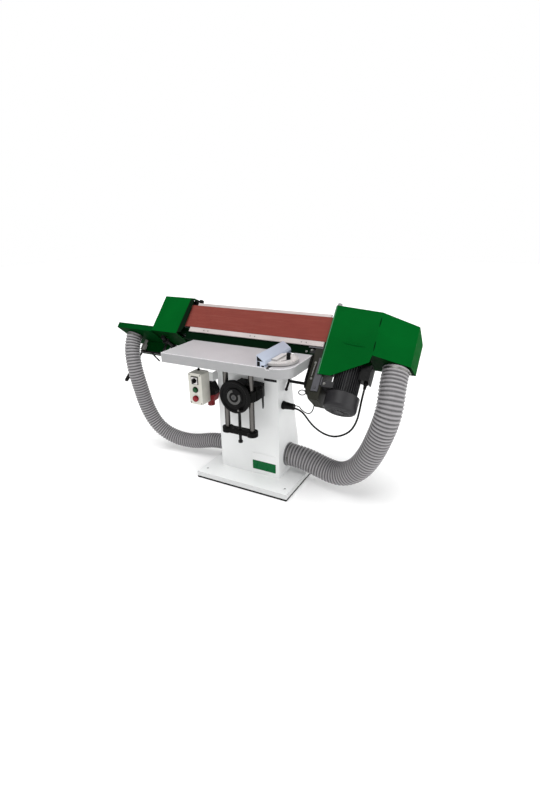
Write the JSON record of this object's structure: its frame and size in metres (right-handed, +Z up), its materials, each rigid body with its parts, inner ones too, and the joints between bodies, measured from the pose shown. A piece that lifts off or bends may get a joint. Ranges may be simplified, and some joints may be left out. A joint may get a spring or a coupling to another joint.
{
  "type": "edge sander",
  "caption": "Edge belt sander on a sheet-steel column: tilting belt head with drum hoods, motor and dust hoses, lifting cast table with handwheel and a swivelling fence gauge.",
  "frame": {"origin": "on the floor, under the middle of the base plate", "axes": "+X along the belt towards the drive motor, +Y away from the operator, +Z up"},
  "size_m": [1.9749, 0.6341, 1.1188],
  "materials": {
    "white_paint": "satin white paint",
    "green_paint": "semi-gloss deep green paint",
    "black_paint": "semi-gloss black paint",
    "olive_paint": "dark olive paint on a rough casting",
    "motor_paint": "dark grey paint",
    "grey_steel": "milled steel",
    "bright_steel": "ground steel",
    "cast_grey": "ground cast iron, light grey",
    "platen_face": "off-white coated steel",
    "abrasive": "red-brown abrasive cloth",
    "aluminium": "drawn aluminium",
    "protractor": "satin light alloy",
    "hose_grey": "grey ribbed plastic",
    "cord_black": "black cord",
    "pad_rubber": "black rubber",
    "box_cream": "cream-grey moulding",
    "black_plastic": "black moulding",
    "green_plastic": "green moulding",
    "red_plastic": "red moulding",
    "grey_plastic": "grey moulding",
    "drum_steel": "turned steel"
  },
  "bodies": {
    "column": {"base_plate": "white_paint", "floor_pads": "pad_rubber", "column": "white_paint", "trunnion_stands": "black_paint", "column_inlets": "grey_plastic", "rear_outlet": "grey_plastic", "lift_housing": "black_paint", "switch_box": "box_cream", "switch_bracket": "grey_steel", "power_inlet": "black_plastic", "inlet_collar": "red_plastic", "cord_connector": "black_plastic", "left_hose": "hose_grey", "right_hose": "hose_grey", "motor_cord": "cord_black", "switch_cord": "cord_black"},
    "head": {"head_beam": "green_paint", "trunnion_lugs": "black_paint", "tilt_quadrant": "black_paint", "platen": "platen_face", "sanding_belt": "abrasive", "rear_guard": "green_paint", "left_hood": "green_paint", "left_tray": "green_paint", "right_hood": "green_paint", "hose_spigots": "grey_plastic", "motor_body": "motor_paint", "fan_cover": "black_paint", "terminal_box": "black_plastic", "drive_bracket": "olive_paint", "bracket_rail": "grey_steel", "tracking_arm": "black_paint", "tension_mounts": "black_paint", "spring_cup": "box_cream"},
    "drive": {"motor_shaft": "bright_steel", "motor_fan": "grey_plastic", "drive_drum": "drum_steel"},
    "carriage": {"idler_carriage": "grey_steel", "idler_shaft": "bright_steel"},
    "idler": {"idler_drum": "drum_steel"},
    "tension_lever": {"tension_lever": "black_paint"},
    "tracking_knob": {"tracking_knob": "black_plastic"},
    "tracking_lock": {"tracking_lock": "black_plastic"},
    "hood_knob": {"hood_knob": "grey_plastic"},
    "tilt_lever": {"tilt_lever": "black_paint"},
    "table": {"table": "cast_grey", "table_saddle": "cast_grey", "guide_rods": "bright_steel", "cross_plate": "black_paint"},
    "handwheel": {"handwheel": "black_plastic", "handwheel_shaft": "bright_steel"},
    "screw": {"lead_screw": "black_paint"},
    "table_lever": {"table_lever": "black_paint"},
    "gauge": {"gauge_bar": "bright_steel"},
    "gauge_head": {"gauge_head": "protractor", "fence": "aluminium"},
    "gauge_lever": {"gauge_lever": "black_plastic"},
    "selector": {"selector": "black_plastic"},
    "green_button": {"green_button": "green_plastic"},
    "red_button": {"red_button": "red_plastic"}
  },
  "joints": [
    {"name": "head_tilt", "type": "hinge", "parent": "column", "child": "head", "pos_m": [0, 0.015, 0.861], "axis": [-1, 0, 0], "range_deg": [-40, 50], "deforming": ["left_hose", "right_hose", "motor_cord", "switch_cord"]},
    {"name": "drive_spin", "type": "hinge", "parent": "head", "child": "drive", "pos_m": [0.608, 0.015, 0.861], "axis": [0, 0.6428, 0.766], "continuous": true},
    {"name": "carriage_slide", "type": "slide", "parent": "head", "child": "carriage", "axis": [1, 0, 0], "range_m": [0, 0.0206]},
    {"name": "idler_spin", "type": "hinge", "parent": "carriage", "child": "idler", "pos_m": [-0.55041, 0.015, 0.861], "axis": [0, 0.6428, 0.766], "continuous": true},
    {"name": "tension_lever_swing", "type": "hinge", "parent": "head", "child": "tension_lever", "pos_m": [-0.69, -0.00814, 0.83342], "axis": [0, 0.766, -0.6428], "range_deg": [0, 24]},
    {"name": "tracking_knob_turn", "type": "hinge", "parent": "head", "child": "tracking_knob", "pos_m": [-0.5, 0.12498, 1.04807], "axis": [0, 0.6428, 0.766], "range_deg": [-180, 180]},
    {"name": "tracking_lock_turn", "type": "hinge", "parent": "head", "child": "tracking_lock", "pos_m": [-0.463, 0.12498, 1.04807], "axis": [0, 0.6428, 0.766], "range_deg": [-180, 180]},
    {"name": "hood_knob_turn", "type": "hinge", "parent": "head", "child": "hood_knob", "pos_m": [0.472, 0.14076, 1.09488], "axis": [0, 0.6428, 0.766], "range_deg": [0, 180]},
    {"name": "tilt_lever_swing", "type": "hinge", "parent": "column", "child": "tilt_lever", "pos_m": [0.19, 0.015, 0.811], "axis": [-1, 0, 0], "range_deg": [-25, 25]},
    {"name": "handwheel_turn", "type": "hinge", "parent": "column", "child": "handwheel", "pos_m": [-0.006, -0.231, 0.612], "axis": [0, 1, 0], "range_deg": [-2165, 2165]},
    {"name": "screw_turn", "type": "hinge", "parent": "column", "child": "screw", "pos_m": [-0.006, -0.189, 0.45], "axis": [0, 0, 1], "range_deg": [-2165, 2165]},
    {"name": "table_lift", "type": "slide", "parent": "column", "child": "table", "axis": [0, 0, 1], "range_m": [-0.048, 0.048]},
    {"name": "table_lever_swing", "type": "hinge", "parent": "column", "child": "table_lever", "pos_m": [0.115, -0.137, 0.656], "axis": [-1, 0, 0], "range_deg": [0, 40]},
    {"name": "gauge_slide", "type": "slide", "parent": "table", "child": "gauge", "axis": [0, -1, 0], "range_m": [0, 0.1]},
    {"name": "gauge_swivel", "type": "hinge", "parent": "gauge", "child": "gauge_head", "pos_m": [0.284, -0.238, 0.87], "axis": [0, 0, 1], "range_deg": [-45, 45]},
    {"name": "gauge_lever_turn", "type": "hinge", "parent": "gauge", "child": "gauge_lever", "pos_m": [0.34, -0.238, 0.87], "axis": [0, 0, 1], "range_deg": [0, 60]},
    {"name": "selector_turn", "type": "hinge", "parent": "column", "child": "selector", "pos_m": [-0.296, -0.214, 0.663], "axis": [0, 1, 0], "range_deg": [0, 90]},
    {"name": "green_button_press", "type": "slide", "parent": "column", "child": "green_button", "axis": [0, 1, 0], "range_m": [0, 0.004], "stiffness_N_per_m": 700},
    {"name": "red_button_press", "type": "slide", "parent": "column", "child": "red_button", "axis": [0, 1, 0], "range_m": [0, 0.004], "stiffness_N_per_m": 700}
  ],
  "couplings": [
    {"joint": "idler_spin", "follows": "drive_spin", "ratio": 1},
    {"joint": "carriage_slide", "follows": "tension_lever_swing", "m_per_rad": 0.047},
    {"joint": "screw_turn", "follows": "table_lift", "rad_per_m": -785.4},
    {"joint": "handwheel_turn", "follows": "table_lift", "rad_per_m": 785.4}
  ]
}
